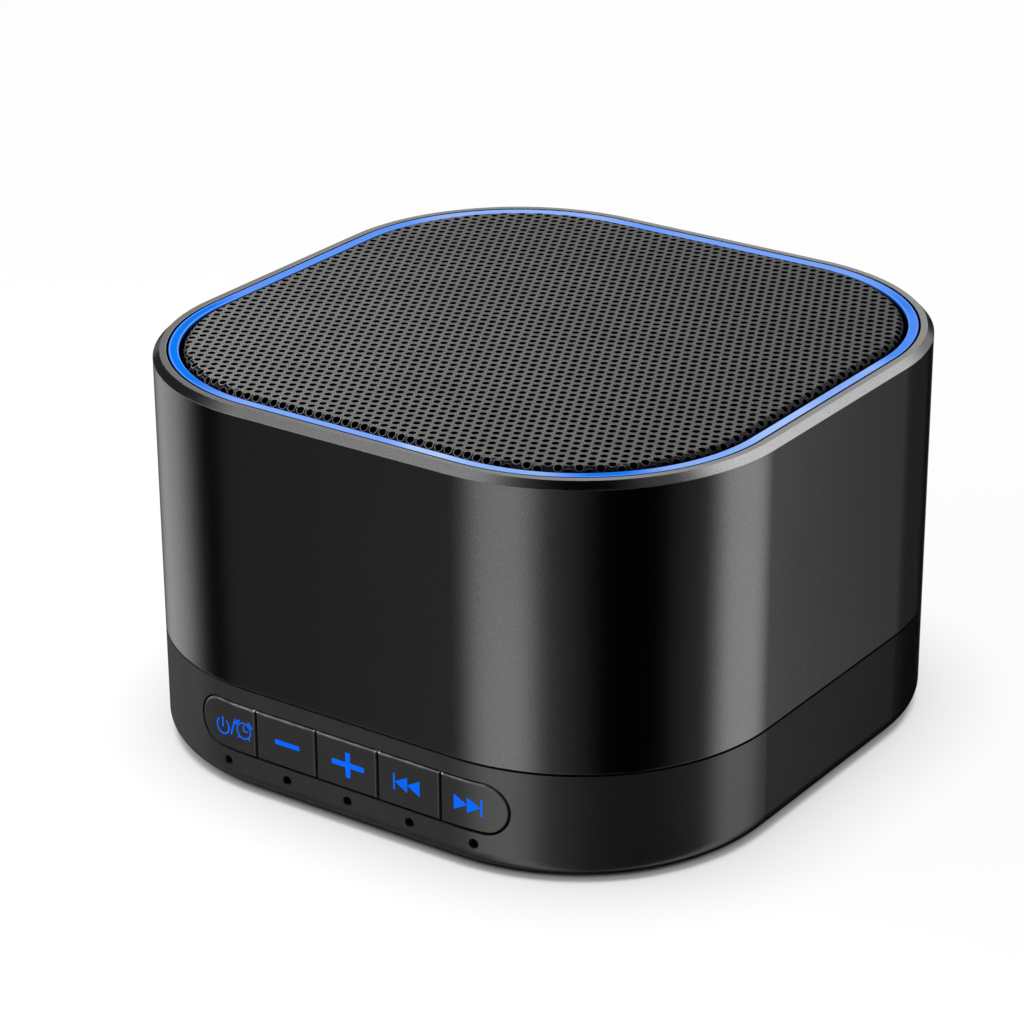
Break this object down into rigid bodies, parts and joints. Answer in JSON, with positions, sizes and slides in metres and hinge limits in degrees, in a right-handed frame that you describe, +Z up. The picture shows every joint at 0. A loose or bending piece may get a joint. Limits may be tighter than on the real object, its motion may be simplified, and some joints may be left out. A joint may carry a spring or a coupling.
{
  "type": "white noise sound machine",
  "caption": "Round-cornered square table sound machine: dark sleeve on a black base with a row of keys, perforated top over a speaker, and a lit blue ring round the top.",
  "frame": {"origin": "middle of the surface that the four feet stand on", "axes": "+Z up, -Y towards the front with the keys, +X to the right of someone facing the keys"},
  "size_m": [0.1, 0.1, 0.0607],
  "materials": {
    "base_plastic": "fine-grained moulded black plastic",
    "key_plastic": "smooth black plastic with printed blue symbols",
    "sleeve_metal": "dark grey anodised, satin",
    "frame_plastic": "moulded black",
    "ring_diffuser": "translucent light guide, lit blue",
    "grille_metal": "dark grey powder coat on perforated sheet",
    "foot_rubber": "matt",
    "board": "green solder mask",
    "lamp": "surface-mount lamp",
    "switch": "black",
    "chip": "moulded package",
    "capacitor": "can",
    "header": "natural nylon",
    "socket_steel": "plated",
    "socket_black": "moulded",
    "screw_steel": "zinc plated",
    "basket_steel": "black paint",
    "motor_steel": "zinc plated",
    "ferrite": "sintered ferrite",
    "cone_paper": "pressed pulp",
    "surround_rubber": "smooth",
    "gasket_foam": "foam",
    "spider_cloth": "resin-stiffened weave",
    "coil_copper": "enamelled winding on its former",
    "terminal_board": "hard fibre",
    "wire_red": "insulation",
    "wire_black": "insulation",
    "ribbon_grey": "flat cable"
  },
  "bodies": {
    "case": {"base_shell": "base_plastic", "sleeve": "sleeve_metal", "top_frame": "frame_plastic", "light_ring": "ring_diffuser", "grille": "grille_metal", "foot_front_left": "foot_rubber", "foot_front_right": "foot_rubber", "foot_back_left": "foot_rubber", "foot_back_right": "foot_rubber", "light_board": "board", "key_board": "board", "main_board": "board", "ring_lamps": "lamp", "indicator_lamps": "lamp", "key_switches": "switch", "sound_chips": "chip", "capacitors": "capacitor", "board_connectors": "header", "power_socket_shell": "socket_steel", "power_socket_tongue": "socket_black", "case_screws": "screw_steel", "board_screws": "screw_steel", "speaker_screws": "screw_steel", "speaker_basket": "basket_steel", "speaker_top_plate": "motor_steel", "speaker_yoke": "motor_steel", "speaker_magnet": "ferrite", "speaker_surround": "surround_rubber", "speaker_gasket": "gasket_foam", "speaker_spider": "spider_cloth", "speaker_terminal": "terminal_board", "speaker_lead_red": "wire_red", "speaker_lead_black": "wire_black", "light_lead": "wire_black", "key_ribbon": "ribbon_grey"},
    "power_button": {"power_key": "key_plastic", "power_key_plunger": "switch"},
    "minus_button": {"minus_key": "key_plastic", "minus_key_plunger": "switch"},
    "plus_button": {"plus_key": "key_plastic", "plus_key_plunger": "switch"},
    "previous_button": {"previous_key": "key_plastic", "previous_key_plunger": "switch"},
    "next_button": {"next_key": "key_plastic", "next_key_plunger": "switch"},
    "cone": {"speaker_cone": "cone_paper", "speaker_dust_cap": "cone_paper", "voice_coil": "coil_copper"}
  },
  "joints": [
    {"name": "power_button_press", "type": "slide", "parent": "case", "child": "power_button", "axis": [0, 1, 0], "range_m": [0, 0.0004], "stiffness_N_per_m": 3000, "springref_m": -0.0001},
    {"name": "minus_button_press", "type": "slide", "parent": "case", "child": "minus_button", "axis": [0, 1, 0], "range_m": [0, 0.0004], "stiffness_N_per_m": 3000, "springref_m": -0.0001},
    {"name": "plus_button_press", "type": "slide", "parent": "case", "child": "plus_button", "axis": [0, 1, 0], "range_m": [0, 0.0004], "stiffness_N_per_m": 3000, "springref_m": -0.0001},
    {"name": "previous_button_press", "type": "slide", "parent": "case", "child": "previous_button", "axis": [0, 1, 0], "range_m": [0, 0.0004], "stiffness_N_per_m": 3000, "springref_m": -0.0001},
    {"name": "next_button_press", "type": "slide", "parent": "case", "child": "next_button", "axis": [0, 1, 0], "range_m": [0, 0.0004], "stiffness_N_per_m": 3000, "springref_m": -0.0001},
    {"name": "cone_travel", "type": "slide", "parent": "case", "child": "cone", "axis": [0, 0, 1], "range_m": [-0.0008, 0.0008], "stiffness_N_per_m": 1300, "deforming": ["speaker_surround", "speaker_spider"]}
  ]
}
